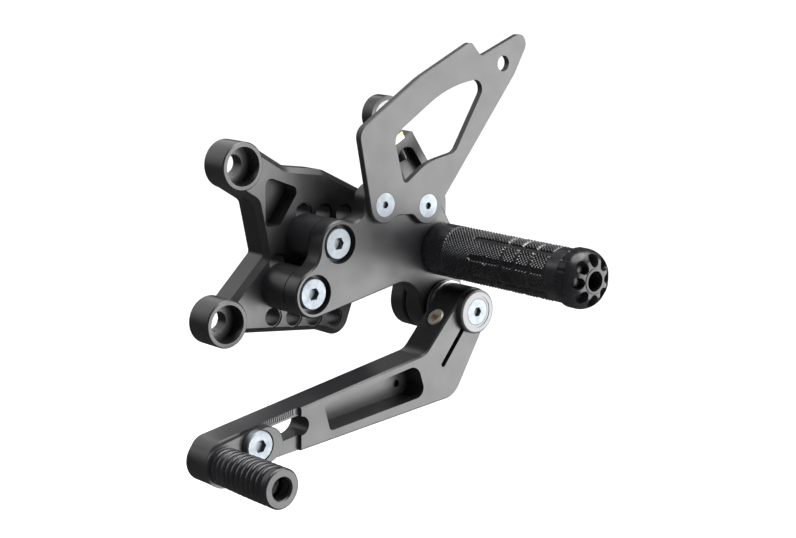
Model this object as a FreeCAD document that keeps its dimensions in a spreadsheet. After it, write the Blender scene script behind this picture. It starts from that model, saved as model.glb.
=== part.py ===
import FreeCAD, Part
import Sketcher
import math
import os

from FreeCAD import Placement, Rotation, Vector

# Left-hand adjustable rear set of a motorcycle: a foot peg, its bracket, the heel guard and the
# gear-shift lever.  +Z is up, +X points to the rear of the motorcycle and the peg points along -Y.
# The origin is the upper frame bolt's axis, on the back face that lies against the frame.
# "Depth" below is the distance from that back face, measured outboard along -Y.

SIZES = [
    # base plate
    ("plate_thickness", 13.0, "base plate, web and bosses"),
    ("frame_bolt_span", 67.8, "upper to lower frame bolt"),
    ("frame_bolt_tilt", 8.26, "lean of the frame bolt line from vertical, degrees"),
    ("frame_hole_radius", 4.5, "clearance hole for an M8 frame bolt"),
    ("frame_boss_radius", 10.6, "round boss at each frame bolt"),
    ("boss_rise", 0.6, "boss face above the web face"),
    ("counterbore_radius", 8.5, "room for the frame bolt's head"),
    ("counterbore_depth", 7.5, "depth of that counterbore"),
    ("web_chamfer", 2.4, "bevel round the web's front face"),
    ("position_pitch", 11.5, "step between bracket positions"),
    ("position_hole_radius", 4.05, "M8 threaded hole for a bracket bolt"),
    ("position_chamfer", 0.6, "lead-in of each threaded hole"),
    ("web_pocket_depth", 9.0, "lightening pocket in the web"),
    # bracket
    ("spacer_length", 15.4, "collar between base plate and bracket"),
    ("bracket_thickness", 9.0, "bracket plate"),
    ("lobe_radius", 10.4, "rounded end round each bracket bolt"),
    ("ear_radius", 9.0, "rounded ear behind each guard screw"),
    ("peg_lobe_radius", 11.0, "bracket behind the peg"),
    ("pivot_lobe_radius", 12.5, "bracket round the lever pivot"),
    ("pivot_boss_rise", 3.0, "pivot boss behind the bracket"),
    ("edge_chamfer", 0.7, "broken edge of machined faces"),
    ("bolt_radius", 4.0, "M8 shank"),
    ("bolt_head_radius", 7.0, "M8 low head"),
    ("bolt_head_height", 3.2, "M8 low head"),
    ("bolt_pocket_radius", 8.65, "recess round an M8 head"),
    ("bolt_pocket_depth", 4.2, "recess round an M8 head"),
    ("fit_clearance", 0.05, "radial gap of fitted parts"),
    # guard
    ("guard_thickness", 3.0, "heel guard plate"),
    ("guard_lobe_radius", 8.2, "guard round each screw"),
    ("screw_radius", 3.0, "M6 shank"),
    ("guard_screw_radius", 2.5, "M5 shank of a guard screw"),
    ("screw_head_radius", 5.3, "countersunk M5 head"),
    ("screw_head_height", 2.8, "countersunk M5 head"),
    # foot peg
    ("peg_radius", 12.0, "foot peg barrel"),
    ("peg_length", 83.1, "foot peg barrel"),
    ("peg_counterbore_radius", 7.4, "room for the peg bolt's head"),
    ("peg_counterbore_depth", 17.0, "room for the peg bolt's head"),
    ("peg_head_radius", 6.5, "M8 socket head"),
    ("peg_head_height", 8.0, "M8 socket head"),
    ("peg_cap_radius", 12.8, "end cap of the peg"),
    ("peg_cap_length", 11.3, "end cap of the peg"),
    ("peg_cap_hole_radius", 4.15, "hex key access hole"),
    ("spigot_length", 4.0, "end cap's spigot in the barrel"),
    # pivot
    ("shaft_radius", 6.0, "lever shaft"),
    ("bush_wall", 1.5, "bronze bush wall"),
    ("bush_flange", 1.0, "bronze bush flange"),
    ("bush_flange_radius", 9.5, "bronze bush flange"),
    ("washer_thickness", 1.1, "thrust washer"),
    ("washer_radius", 11.1, "thrust washer"),
    ("ring_thickness", 0.8, "rubber dust ring"),
    ("side_play", 0.05, "axial gap on each side of the pivot"),
    # lever
    ("lever_thickness", 15.4, "shift lever"),
    ("hub_radius", 10.5, "shift lever round its shaft"),
    ("tip_radius", 9.2, "shift lever round the toe peg"),
    ("slit_width", 2.4, "clamp slit"),
    ("slit_length", 28.0, "clamp slit from the shaft's axis"),
    ("lever_pocket_depth", 11.0, "long pocket in the lower arm"),
    ("toe_step", 2.0, "seat of the carrier below the lever's face"),
    ("slot_tilt", 8.26, "slope of the toe peg slot, degrees"),
    ("slot_travel", 32.8, "toe peg slot, end centre to end centre"),
    ("carrier_setting", 23.4, "carrier bolt from the slot's inner end"),
    ("slot_half_width", 4.15, "slot for the carrier bolt"),
    ("nut_groove_half_width", 6.8, "groove for the sliding nut"),
    ("nut_groove_depth", 5.4, "groove for the sliding nut"),
    ("serration_pitch", 1.0, "fine notches beside the toe slot"),
    ("pinch_station", 11.4, "pinch screw's axis from the shaft's axis"),
    ("pinch_offset", 6.4, "pinch screw's seat from the clamp slit"),
    ("pinch_radius", 2.5, "M5 pinch screw"),
    ("pinch_head_radius", 4.25, "M5 socket head"),
    ("pinch_head_height", 5.0, "M5 socket head"),
    ("cap_radius", 9.9, "turned pivot cap"),
    ("cap_thickness", 3.2, "turned pivot cap"),
    # linkage
    ("arm_thickness", 8.4, "link arm"),
    ("arm_hub_radius", 13.0, "link arm round the shaft"),
    ("arm_half_width", 9.0, "link arm, upper end"),
    ("arm_pocket_depth", 4.8, "link arm pocket"),
    ("arm_end", 13.5, "link arm's end from the rod end's eye"),
    ("nut_height", 3.4, "thin M6 lock nut"),
    ("eye_radius", 9.0, "rod end eye"),
    ("eye_width", 6.8, "rod end eye"),
    ("ball_radius", 5.8, "rod end ball"),
    ("ball_width", 9.0, "rod end ball"),
    ("ball_bore_radius", 3.0, "bore for the shift rod's M6 bolt"),
    ("liner_wall", 1.0, "liner between eye and ball"),
    ("rod_radius", 3.0, "M6 shank of the rod end"),
    # toe peg
    ("carrier_thickness", 4.5, "toe peg carrier"),
    ("carrier_pocket_depth", 3.0, "low seat for bolt head and toe peg"),
    ("carrier_half_width", 7.6, "toe peg carrier"),
    ("carrier_head_radius", 6.5, "M8 low head of the carrier bolt"),
    ("toe_radius", 8.4, "toe peg, outer end"),
    ("toe_waist_radius", 8.0, "toe peg, root"),
    ("toe_length", 38.5, "toe peg barrel"),
    ("toe_ring_count", 9.0, "grip rings on the toe peg"),
    ("toe_bore_radius", 4.5, "bore at the toe peg's end"),
]

doc = FreeCAD.newDocument("rear_set")
sheet = doc.addObject("Spreadsheet::Sheet", "sizes")
for row, (alias, value, note) in enumerate(SIZES, start=1):
    sheet.set(f"A{row}", note)
    sheet.set(f"B{row}", str(value))
    sheet.setAlias(f"B{row}", alias)
doc.recompute()


class Dim:
    """A size with its value and the spreadsheet formula that gives it."""

    def __init__(self, value, text):
        self.value = float(value)
        self.text = text

    def __add__(self, other):
        return join(self, "+", other, self.value + number(other))

    def __sub__(self, other):
        return join(self, "-", other, self.value - number(other))

    def __mul__(self, other):
        return join(self, "*", other, self.value * number(other))

    def __truediv__(self, other):
        return join(self, "/", other, self.value / number(other))


def number(size):
    return size.value if isinstance(size, Dim) else float(size)


def formula(size):
    return size.text if isinstance(size, Dim) else repr(float(size))


def join(left, sign, right, value):
    return Dim(value, f"({formula(left)} {sign} {formula(right)})")


def dim(alias):
    return Dim(sheet.get(alias), f"sizes.{alias}")


def plain(value):
    return Dim(value, repr(float(value)))


# ---- helpers: outlines, sketches and solids ----

def tangent_heading(first, second):
    """Heading of the line that leaves circle `first` and meets circle `second`."""
    dx = second[0] - first[0]
    dz = second[1] - first[1]
    spread = math.hypot(dx, dz)
    return math.atan2(dz, dx) - math.asin((second[2] - first[2]) / spread)


def belt(circles):
    """Closed outline run counter-clockwise round circles (x, z, r): r > 0 is an outside
    corner, r < 0 an inside one.  Straight tangents join the arcs."""
    rounds = [tuple(number(part) for part in circle) for circle in circles]
    count = len(rounds)
    headings = [tangent_heading(rounds[i], rounds[(i + 1) % count]) for i in range(count)]
    parts = []
    for i, (x, z, r) in enumerate(rounds):
        arrive = headings[i - 1]
        leave = headings[i]
        start = (x + r * math.sin(arrive), z - r * math.cos(arrive))
        end = (x + r * math.sin(leave), z - r * math.cos(leave))
        turn = (leave - arrive) % (2 * math.pi) - (2 * math.pi if r < 0 else 0.0)
        if abs(turn) > 4.5:
            raise RuntimeError(f"circle {i} of an outline turns the wrong way")
        middle_heading = arrive + turn / 2
        middle = (x + r * math.sin(middle_heading), z - r * math.cos(middle_heading))
        parts.append((start, middle, end))
    return parts


def flat(point):
    return Vector(point[0], point[1], 0)


def belt_geometry(circles):
    """Sketch lines and arcs of a belt."""
    arcs = belt(circles)
    geometry = []
    for i, (start, middle, end) in enumerate(arcs):
        geometry.append(Part.Arc(flat(start), flat(middle), flat(end)))
        following = arcs[(i + 1) % len(arcs)][0]
        geometry.append(Part.LineSegment(flat(end), flat(following)))
    return geometry


def waist(first, second, radius, gap=0.25):
    """Inside corner of the given radius that just clears two lobes, on the left of the
    line from the first lobe to the second."""
    ax, az, ar = [number(part) for part in first]
    bx, bz, br = [number(part) for part in second]
    size = number(radius)
    to_first = ar + size + gap
    to_second = br + size + gap
    span = math.hypot(bx - ax, bz - az)
    along = (span ** 2 + to_first ** 2 - to_second ** 2) / (2 * span)
    aside = math.sqrt(max(to_first ** 2 - along ** 2, 0.0))
    ux, uz = (bx - ax) / span, (bz - az) / span
    return (ax + along * ux - aside * uz, az + along * uz + aside * ux, -size)


def new_body(label):
    body = doc.addObject("PartDesign::Body", label)
    body.Label = label
    return body


def attach_upright(item, body):
    """Attach a feature to the body's XZ plane, whose normal points outboard."""
    plane = [origin for origin in body.Origin.OriginFeatures if origin.Role == "XZ_Plane"][0]
    item.AttachmentSupport = [(plane, "")]
    item.MapMode = "FlatFace"


def face_sketch(body, name, depth):
    """Sketch parallel to the XZ plane, `depth` outboard of the mounting face."""
    sketch = body.newObject("Sketcher::SketchObject", name)
    attach_upright(sketch, body)
    sketch.setExpression("AttachmentOffset.Base.z", formula(depth))
    return sketch


def add_circle(sketch, centre, radius):
    """Full circle whose radius and centre are bound to the sheet."""
    x, z = centre
    index = sketch.addGeometry(Part.Circle(Vector(number(x), number(z), 0), Vector(0, 0, 1),
                                           number(radius)), False)
    bound = [("Radius", (index, number(radius)), radius)]
    for kind, place in (("DistanceX", x), ("DistanceY", z)):
        bound.append((kind, (-1, 1, index, 3, number(place)), place))
    for kind, where, size in bound:
        if kind != "Radius" and abs(number(size)) < 1e-9:
            continue
        constraint = sketch.addConstraint(Sketcher.Constraint(kind, *where))
        if isinstance(size, Dim) and number(size) > 0:
            sketch.setExpression(f"Constraints[{constraint}]", size.text)


def check_volume(body, before, grows, name):
    doc.recompute()
    change = body.Shape.Volume - before
    if (change <= 0) == grows:
        raise RuntimeError(f"{body.Label}.{name} did not change the solid as meant")


def pad(body, name, depth, length, outlines=(), circles=()):
    """Pad outlines outboard from `depth`."""
    extrude(body, "PartDesign::Pad", name, depth, length, outlines, circles)


def pocket(body, name, depth, length, outlines=(), circles=()):
    """Cut outlines inboard from `depth`."""
    extrude(body, "PartDesign::Pocket", name, depth, length, outlines, circles)


def extrude(body, kind, name, depth, length, outlines, circles):
    before = body.Shape.Volume if body.Tip else 0.0
    sketch = face_sketch(body, name + "_sketch", depth)
    for outline in outlines:
        sketch.addGeometry(belt_geometry(outline), False)
    for centre, radius in circles:
        add_circle(sketch, centre, radius)
    feature = body.newObject(kind, name)
    feature.Profile = sketch
    feature.setExpression("Length", formula(length))
    body.Tip = feature
    check_volume(body, before, kind.endswith("Pad"), name)


def drill(body, name, radius, mouth, heading, depth, reach):
    """Round hole square to -Y: from `mouth` (x, z) at `depth`, running for `reach` along the
    unit vector `heading` (x, z)."""
    before = body.Shape.Volume
    tool = body.newObject("PartDesign::SubtractiveCylinder", name)
    attach_upright(tool, body)
    tool.setExpression("Radius", formula(radius))
    tool.Height = reach
    angle = math.degrees(math.atan2(heading[1], heading[0]))
    turn = Rotation(Vector(0, 0, 1), angle) * Rotation(Vector(0, 1, 0), 90)
    tool.AttachmentOffset = Placement(Vector(number(mouth[0]), number(mouth[1]), 0), turn)
    tool.setExpression("AttachmentOffset.Base.z", formula(depth))
    body.Tip = tool
    check_volume(body, before, False, name)


def rim_edges(shape, depth, inner=False):
    """Names of the edges round the flat face at `depth`: its outer wire, or its holes."""
    names = []
    for face in shape.Faces:
        box = face.BoundBox
        if abs(box.YMin + depth) > 1e-4 or abs(box.YMax + depth) > 1e-4:
            continue
        wires = [w for w in face.Wires if w.isSame(face.OuterWire) != inner]
        for edge in [e for wire in wires for e in wire.Edges]:
            names += [f"Edge{i + 1}" for i, e in enumerate(shape.Edges) if e.isSame(edge)]
    return names


def bevel(body, name, edges, size):
    before = body.Shape.Volume
    previous = body.Tip
    feature = body.newObject("PartDesign::Chamfer", name)
    feature.Base = (previous, edges)
    feature.setExpression("Size", formula(size))
    body.Tip = feature
    check_volume(body, before, False, name)


OUTBOARD = Rotation(Vector(1, 0, 0), 90)
INBOARD = Rotation(Vector(1, 0, 0), -90)


def turned(label, profile, centre, depth, turn=OUTBOARD):
    """Turned piece: (radius, distance) corners revolved about its own axis, which starts at
    `depth` on `centre` and runs outboard unless turned otherwise."""
    body = new_body(label)
    sketch = body.newObject("Sketcher::SketchObject", label + "_profile")
    attach_upright(sketch, body)
    corners = [Vector(number(r), number(d), 0) for r, d in profile]
    for i, corner in enumerate(corners):
        sketch.addGeometry(Part.LineSegment(corner, corners[(i + 1) % len(corners)]), False)
    for i in range(len(corners)):
        sketch.addConstraint(Sketcher.Constraint("Coincident", i, 2, (i + 1) % len(corners), 1))
    for i, (r, d) in enumerate(profile):
        for kind, size in (("DistanceX", r), ("DistanceY", d)):
            value = number(size)
            if abs(value) < 1e-9:
                axis = -2 if kind == "DistanceX" else -1
                sketch.addConstraint(Sketcher.Constraint("PointOnObject", i, 1, axis))
                continue
            where = sketch.addConstraint(Sketcher.Constraint(kind, -1, 1, i, 1, value))
            if isinstance(size, Dim):
                sketch.setExpression(f"Constraints[{where}]", size.text)
    revolution = body.newObject("PartDesign::Revolution", label + "_turned")
    revolution.Profile = sketch
    revolution.ReferenceAxis = (sketch, ["V_Axis"])
    revolution.Angle = 360
    body.Tip = revolution
    place(body, centre, depth, turn)
    return body


def place(item, centre, depth, turn=OUTBOARD):
    item.Placement = Placement(Vector(0, 0, 0), turn)
    item.setExpression("Placement.Base.x", formula(centre[0]))
    item.setExpression("Placement.Base.y", f"-1 * ({formula(depth)})")
    item.setExpression("Placement.Base.z", formula(centre[1]))


def primitive(kind, name, **sizes):
    item = doc.addObject(kind, name)
    for key, size in sizes.items():
        if isinstance(size, Dim):
            item.setExpression(key, size.text)
        else:
            setattr(item, key, size)
    return item


def cylinder(name, radius, height, start=0.0):
    item = primitive("Part::Cylinder", name, Radius=radius, Height=height)
    item.setExpression("Placement.Base.z", formula(start))
    return item


def hexagon(name, across_flats, height, start=0.0):
    corner = across_flats / math.sqrt(3)
    item = primitive("Part::Prism", name, Polygon=6, Circumradius=corner, Height=height)
    item.setExpression("Placement.Base.z", formula(start))
    return item


def cone(name, root_radius, top_radius, height, start=0.0):
    item = primitive("Part::Cone", name, Radius1=root_radius, Radius2=top_radius, Height=height)
    item.setExpression("Placement.Base.z", formula(start))
    return item


def cut(name, base, tool):
    item = doc.addObject("Part::Cut", name)
    item.Base = base
    item.Tool = tool
    return item


def fuse(name, pieces):
    item = doc.addObject("Part::MultiFuse", name)
    item.Shapes = pieces
    item.Refine = True
    return item


def common(name, base, tool):
    item = doc.addObject("Part::Common", name)
    item.Base = base
    item.Tool = tool
    return item


def socket_screw(label, shank_radius, length, head_radius, head_height, across_flats,
                 socket_depth, cone_head=False):
    """Screw along +Z of its own frame: the shank ends at 0 and the head's top is last."""
    shank = cylinder(label + "_shank", shank_radius, length + 0.2)
    if cone_head:
        head = cone(label + "_head", shank_radius, head_radius, head_height, length)
    else:
        bevel_height = 0.5
        body_height = head_height - bevel_height
        lower = cylinder(label + "_head_low", head_radius, body_height, length)
        upper = cone(label + "_head_top", head_radius, head_radius - bevel_height,
                     bevel_height, body_height + length)
        head = fuse(label + "_head", [lower, upper])
    blank = fuse(label + "_blank", [shank, head])
    top = head_height + length
    hexed = hexagon(label + "_socket", across_flats, socket_depth + 1.0, top - socket_depth)
    return cut(label + "_screw", blank, hexed)


def copies(label, template, spots):
    """One node that holds the same piece at several (centre, depth) spots."""
    links = []
    for i, (centre, depth) in enumerate(spots):
        mover = doc.addObject("Part::Compound", f"{label}_{i + 1}")
        mover.Links = [template]
        place(mover, centre, depth)
        links.append(mover)
    group = doc.addObject("Part::Compound", label)
    group.Links = links
    group.Label = label
    return group


# ---- places, measured from the upper frame bolt as (x, z) ----

plate = dim("plate_thickness")
bracket_back = plate + dim("spacer_length")
bracket_face = bracket_back + dim("bracket_thickness")
guard_face = bracket_face + dim("guard_thickness")
lean = math.radians(sheet.get("frame_bolt_tilt"))
rise_x = math.cos(lean)
rise_z = -math.sin(lean)

upper_frame = (plain(0.0), plain(0.0))
lower_frame = (dim("frame_bolt_span") * -math.sin(lean), dim("frame_bolt_span") * -math.cos(lean))
upper_bolt = (plain(33.1), plain(-34.1))
lower_bolt = (plain(19.2), plain(-54.3))
left_ear = (plain(56.3), plain(-19.3))
right_ear = (plain(81.4), plain(-22.5))
peg_axis = (plain(91.4), plain(-43.5))
pivot = (plain(93.5), plain(-69.3))
toe_axis = (plain(-43.1), plain(-112.7))
slot_end = (plain(-4.5), plain(-103.4))
slot_slope = math.radians(sheet.get("slot_tilt"))
slot_start = (slot_end[0] - dim("slot_travel") * math.cos(slot_slope),
              slot_end[1] - dim("slot_travel") * math.sin(slot_slope))
carrier_bolt_axis = (slot_end[0] - dim("carrier_setting") * math.cos(slot_slope),
                     slot_end[1] - dim("carrier_setting") * math.sin(slot_slope))
eye_axis = (plain(71.9), plain(16.9))
rod_line = (-0.48, 0.8773)


def shifted(place_at, dx, dz):
    return (place_at[0] + dx, place_at[1] + dz)


def round_at(place_at, radius):
    return (place_at[0], place_at[1], radius)


# ---- base plate ----

def base_plate():
    body = new_body("base_plate")
    boss = dim("frame_boss_radius")
    web = [
        round_at(upper_frame, boss - 0.3),
        (3.4, -19.1, -4.0),
        (9.4, -39.4, -2.3),
        round_at(lower_frame, 4.6),
        (40.1, -84.8, -7.0),
        (51.1, -73.2, 8.3),
        (72.1, -26.6, 6.0),
        (42.1, -13.6, 8.0),
        (27.6, 7.5, -10.6),
    ]
    pad(body, "web", 0.0, plate, [web])
    bevel(body, "web_bevel", rim_edges(body.Shape, plate.value), dim("web_chamfer"))
    boss_height = plate + dim("boss_rise")
    bosses = [(upper_frame, boss), (lower_frame, boss)]
    pad(body, "bosses", 0.0, boss_height, circles=bosses)
    rims = rim_edges(body.Shape, boss_height.value)
    bevel(body, "boss_bevel", rims, dim("boss_rise") - 0.05)
    seats = [(upper_frame, dim("counterbore_radius")), (lower_frame, dim("counterbore_radius"))]
    pocket(body, "counterbores", boss_height, dim("counterbore_depth"), circles=seats)
    holes = [(upper_frame, dim("frame_hole_radius")), (lower_frame, dim("frame_hole_radius"))]
    pocket(body, "frame_holes", boss_height, boss_height, circles=holes)
    window = [
        (13.6, -25.7, 1.9),
        (18.6, -25.7, 1.9),
        (26.0, -13.9, 2.9),
        (15.1, -9.9, 3.2),
    ]
    pocket(body, "web_pocket", plate, dim("web_pocket_depth"), [window])
    positions = position_holes()
    threads = [(at, dim("position_hole_radius")) for at in positions]
    pocket(body, "position_holes", plate, plate, circles=threads)
    mouths = [(at, dim("position_hole_radius") + dim("position_chamfer")) for at in positions]
    pocket(body, "position_mouths", plate, dim("position_chamfer"), circles=mouths)
    return body


def position_holes():
    """Rows of threaded holes, parallel to each other, for moving the bracket."""
    rows = [
        (plain(32.7), plain(-23.5), 3),
        (upper_bolt[0], upper_bolt[1], 3),
        (plain(17.9), plain(-44.1), 1),
        (lower_bolt[0], lower_bolt[1], 3),
        (plain(15.2), plain(-67.8), 4),
    ]
    pitch = dim("position_pitch")
    return [
        (x + pitch * (rise_x * step), z + pitch * (rise_z * step))
        for x, z, count in rows
        for step in range(count)
    ]


# ---- bracket with its collars and bolts ----

def adapter_plate():
    body = new_body("adapter_plate")
    lobe = dim("lobe_radius")
    ear = dim("ear_radius")
    upper = round_at(upper_bolt, lobe)
    lower = round_at(lower_bolt, lobe)
    left = round_at(left_ear, ear)
    right = round_at(right_ear, ear)
    knuckle = round_at(pivot, dim("pivot_lobe_radius"))
    arch = (pivot[0] - dim("pivot_lobe_radius") - 13.4, pivot[1] + 1.1, -12.0)
    outline = [
        lower,
        arch,
        knuckle,
        round_at(peg_axis, dim("peg_lobe_radius")),
        right,
        waist(left, right, 8.3),
        left,
        waist(upper, left, 6.0),
        upper,
        waist(lower, upper, 9.7),
    ]
    pad(body, "plate", bracket_back, dim("bracket_thickness"), [outline])
    bevel(body, "face_bevel", rim_edges(body.Shape, bracket_face.value), dim("edge_chamfer"))
    bevel(body, "back_bevel", rim_edges(body.Shape, bracket_back.value), dim("edge_chamfer"))
    boss_depth = bracket_back - dim("pivot_boss_rise")
    pad(body, "pivot_boss", boss_depth, dim("pivot_boss_rise") + dim("edge_chamfer"),
        circles=[(pivot, dim("pivot_lobe_radius") - 0.2)])
    seats = [(upper_bolt, dim("bolt_pocket_radius")), (lower_bolt, dim("bolt_pocket_radius"))]
    pocket(body, "bolt_recesses", bracket_face, dim("bolt_pocket_depth"), circles=seats)
    clear = dim("bolt_radius") + 0.3
    pocket(body, "bolt_holes", bracket_face, dim("bracket_thickness"),
           circles=[(upper_bolt, clear), (lower_bolt, clear)])
    thread = dim("guard_screw_radius") + dim("fit_clearance")
    peg_thread = dim("bolt_radius") + dim("fit_clearance")
    pocket(body, "threads", bracket_face, dim("bracket_thickness"),
           circles=[(left_ear, thread), (right_ear, thread), (peg_axis, peg_thread)])
    bush_hole = dim("shaft_radius") + dim("bush_wall") + dim("fit_clearance") * 2
    pocket(body, "pivot_bore", bracket_face, dim("bracket_thickness") + dim("pivot_boss_rise"),
           circles=[(pivot, bush_hole)])
    return body


def adapter_spacers():
    length = dim("spacer_length")
    outer = cylinder("collar_outside", dim("lobe_radius") - 0.15, length)
    bore = cylinder("collar_bore", dim("bolt_radius") + 0.3, length + 2.0, -1.0)
    collar = cut("collar", outer, bore)
    return copies("adapter_spacers", collar, [(upper_bolt, plate), (lower_bolt, plate)])


def adapter_bolts():
    seat = bracket_face - dim("bolt_pocket_depth")
    tip = plain(1.0)
    screw = socket_screw("adapter_bolt", dim("bolt_radius"), seat - tip,
                         dim("bolt_head_radius"), dim("bolt_head_height"), 5.0, 2.4)
    return copies("adapter_bolts", screw, [(upper_bolt, tip), (lower_bolt, tip)])


def heel_guard():
    body = new_body("heel_guard")
    lobe = dim("guard_lobe_radius")
    left = round_at(left_ear, lobe)
    right = round_at(right_ear, lobe)
    outline = [
        left,
        shifted(left_ear, 7.9, -8.5) + (-3.0,),
        shifted(right_ear, -10.3, -5.8) + (-3.0,),
        right,
        (95.1, -21.5, -4.0),
        (128.1, 37.2, 8.0),
        (137.1, 45.8, 4.6),
        (114.3, 45.6, -3.2),
        (106.4, 45.0, 3.1),
        (103.7, -18.6, 60.0),
        (48.2, 11.0, 6.0),
    ]
    window = [
        (68.5, -8.6, 2.2),
        (91.1, -28.6, -27.0),
        (94.5, 4.7, 5.2),
        (109.3, 27.0, 4.6),
        (113.0, -28.4, 60.0),
        (68.6, 7.3, 6.4),
    ]
    pad(body, "plate", bracket_face, dim("guard_thickness"), [outline])
    pocket(body, "window", guard_face, dim("guard_thickness"), [window])
    bevel(body, "edge_bevel", rim_edges(body.Shape, guard_face.value), 0.35)
    pocket(body, "lacing_hole", guard_face, dim("guard_thickness"), circles=[((127.1, 37.8), 3.6)])
    clear = dim("guard_screw_radius") + 0.2
    pocket(body, "screw_holes", guard_face, dim("guard_thickness"),
           circles=[(left_ear, clear), (right_ear, clear)])
    seats = [name for name in rim_edges(body.Shape, guard_face.value, inner=True)
             if abs(edge_radius(body.Shape, name) - clear.value) < 1e-3]
    bevel(body, "countersinks", seats, dim("screw_head_height") - 0.05)
    return body


def edge_radius(shape, name):
    edge = shape.getElement(name)
    return edge.Curve.Radius if isinstance(edge.Curve, Part.Circle) else 0.0


def guard_screws():
    tip = bracket_back + 0.5
    length = guard_face - dim("screw_head_height") - tip
    screw = socket_screw("guard_screw", dim("guard_screw_radius"), length,
                         dim("screw_head_radius"), dim("screw_head_height"), 3.0, 1.8,
                         cone_head=True)
    return copies("guard_screws", screw, [(left_ear, tip), (right_ear, tip)])


# ---- foot peg ----

def peg_barrel():
    outer = dim("peg_radius")
    length = dim("peg_length")
    bore = dim("bolt_radius") + 0.3
    seat = length - dim("peg_counterbore_depth")
    wide = dim("peg_counterbore_radius")
    profile = [
        (bore, 0.0), (outer - 0.5, 0.0), (outer, 0.5), (outer, length - 0.5),
        (outer - 0.5, length), (wide, length), (wide, seat), (bore, seat),
    ]
    return turned("peg_barrel", profile, peg_axis, bracket_face)


def peg_washer():
    seat = bracket_face + dim("peg_length") - dim("peg_counterbore_depth")
    bore = dim("bolt_radius") + 0.2
    outer = dim("peg_counterbore_radius") - 0.2
    profile = [(bore, 0.0), (outer, 0.0), (outer, 1.2), (bore, 1.2)]
    return turned("peg_washer", profile, peg_axis, seat)


def peg_bolt():
    seat = bracket_face + dim("peg_length") - dim("peg_counterbore_depth") + 1.2
    tip_depth = bracket_back + 0.3
    screw = socket_screw("peg_bolt", dim("bolt_radius"), seat - tip_depth,
                         dim("peg_head_radius"), dim("peg_head_height"), 6.0, 4.0)
    screw.Label = "peg_bolt"
    place(screw, peg_axis, tip_depth)
    return screw


def peg_end_cap():
    outer = dim("peg_cap_radius")
    length = dim("peg_cap_length")
    hole = dim("peg_cap_hole_radius")
    spigot = dim("spigot_length")
    fitted = dim("peg_counterbore_radius") - dim("fit_clearance")
    profile = [
        (hole, 0.0), (fitted, 0.0), (fitted, spigot), (outer - 0.5, spigot),
        (outer, spigot + 0.5), (outer, spigot + length * 0.43),
        (outer - 1.8, spigot + length * 0.72), (outer - 5.2, spigot + length),
        (hole, spigot + length),
    ]
    start = bracket_face + dim("peg_length") - spigot
    return turned("peg_end_cap", profile, peg_axis, start)


# ---- lever pivot ----

play = dim("side_play")
flange = dim("bush_flange")
boss_back = bracket_back - dim("pivot_boss_rise")
lever_back = bracket_face + flange + dim("washer_thickness") * 2 + dim("ring_thickness") + play * 2
lever_face = lever_back + dim("lever_thickness")
arm_face = boss_back - flange - play
arm_back = arm_face - dim("arm_thickness")


def bush(label, depth, turn):
    bore = dim("shaft_radius") + dim("fit_clearance")
    outer = dim("shaft_radius") + dim("bush_wall") + dim("fit_clearance")
    half = (dim("bracket_thickness") + dim("pivot_boss_rise")) / 2 - 0.2
    rim = dim("bush_flange_radius")
    profile = [
        (bore, 0.0), (rim, 0.0), (rim, flange), (outer, flange), (outer, half + flange),
        (bore, half + flange),
    ]
    return turned(label, profile, pivot, depth, turn)


def thrust_washers():
    outer = cylinder("washer_outside", dim("washer_radius"), dim("washer_thickness"))
    bore = cylinder("washer_bore", dim("shaft_radius") + dim("fit_clearance"),
                    dim("washer_thickness") + 2.0, -1.0)
    washer = cut("washer", outer, bore)
    first = bracket_face + flange + play
    second = first + dim("washer_thickness") + dim("ring_thickness")
    return copies("thrust_washers", washer, [(pivot, first), (pivot, second)])


def dust_ring():
    bore = dim("shaft_radius") + dim("fit_clearance")
    outer = dim("washer_radius") - 1.4
    thick = dim("ring_thickness")
    profile = [(bore, 0.0), (outer, 0.0), (outer, thick), (bore, thick)]
    depth = bracket_face + flange + play + dim("washer_thickness")
    return turned("dust_ring", profile, pivot, depth)


def pivot_shaft():
    radius = dim("shaft_radius")
    length = lever_face - arm_back
    thread = dim("screw_radius") + dim("fit_clearance")
    deep = 14.0
    profile = [
        (0.0, deep), (thread, deep), (thread, 0.0), (radius - 0.5, 0.0), (radius, 0.5),
        (radius, length - 0.5), (radius - 0.5, length), (thread, length), (thread, length - deep),
        (0.0, length - deep),
    ]
    return turned("pivot_shaft", profile, pivot, arm_back)


def pivot_cap():
    outer = dim("cap_radius")
    thick = dim("cap_thickness")
    bore = dim("screw_radius") + 0.1
    dish = thick - 0.25
    mouth = bore + dish - 0.15
    profile = [
        (bore, 0.0), (outer, 0.0), (outer, thick - 0.6), (outer - 0.6, thick),
        (mouth + 1.3, thick), (mouth + 1.3, dish), (mouth, dish), (bore, 0.15),
    ]
    return turned("pivot_cap", profile, pivot, lever_face)


def cap_screw():
    head = dim("cap_thickness") - 0.4
    top = lever_face + dim("cap_thickness") - 0.25
    length = plain(11.0)
    screw = socket_screw("cap_screw", dim("screw_radius"), length, dim("screw_radius") + head,
                         head, 4.0, 2.0, cone_head=True)
    screw.Label = "cap_screw"
    place(screw, pivot, top - head - length)
    return screw


# ---- shift lever ----

arm_length = math.hypot(17.75, 21.7)
down_arm = (-17.75 / arm_length, -21.7 / arm_length)
across_arm = (down_arm[1], -down_arm[0])


def along_slit(distance, aside=0.0):
    """Place on the lever's upper arm: distance from the shaft and offset to its front edge."""
    return (pivot[0] + distance * down_arm[0] + aside * across_arm[0],
            pivot[1] + distance * down_arm[1] + aside * across_arm[1])


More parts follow.
